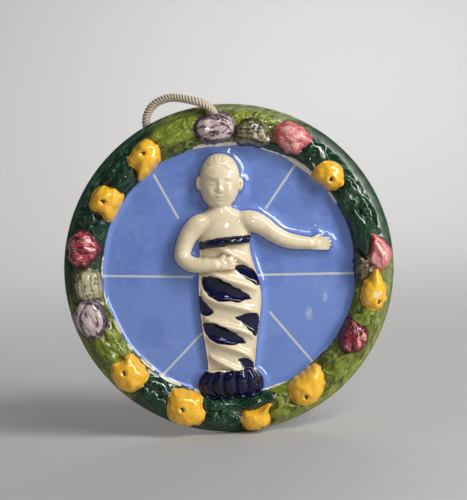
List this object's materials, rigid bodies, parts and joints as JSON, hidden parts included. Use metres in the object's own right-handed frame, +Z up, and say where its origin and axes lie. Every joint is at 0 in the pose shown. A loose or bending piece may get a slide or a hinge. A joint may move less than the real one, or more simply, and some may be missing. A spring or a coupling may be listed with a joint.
{
  "type": "decorative wall plaque",
  "caption": "Round glazed ceramic wall plaque: a child's figure in relief on a blue field inside a fruit and leaf wreath, with a twisted cord loop for hanging.",
  "frame": {"origin": "middle of the flat back, where it lies on the wall", "axes": "+Z up along the figure, -Y to the front, +X to the right as seen from the front"},
  "size_m": [0.205, 0.0257, 0.213],
  "materials": {
    "glazed_ceramic": "glossy clear glaze over hand painting",
    "satin_cord": "twisted satin cord",
    "binding_thread": "wound cotton thread"
  },
  "bodies": {
    "root": {"plaque": "glazed_ceramic", "hanging_cord": "satin_cord", "cord_whipping": "binding_thread"}
  },
  "joints": []
}
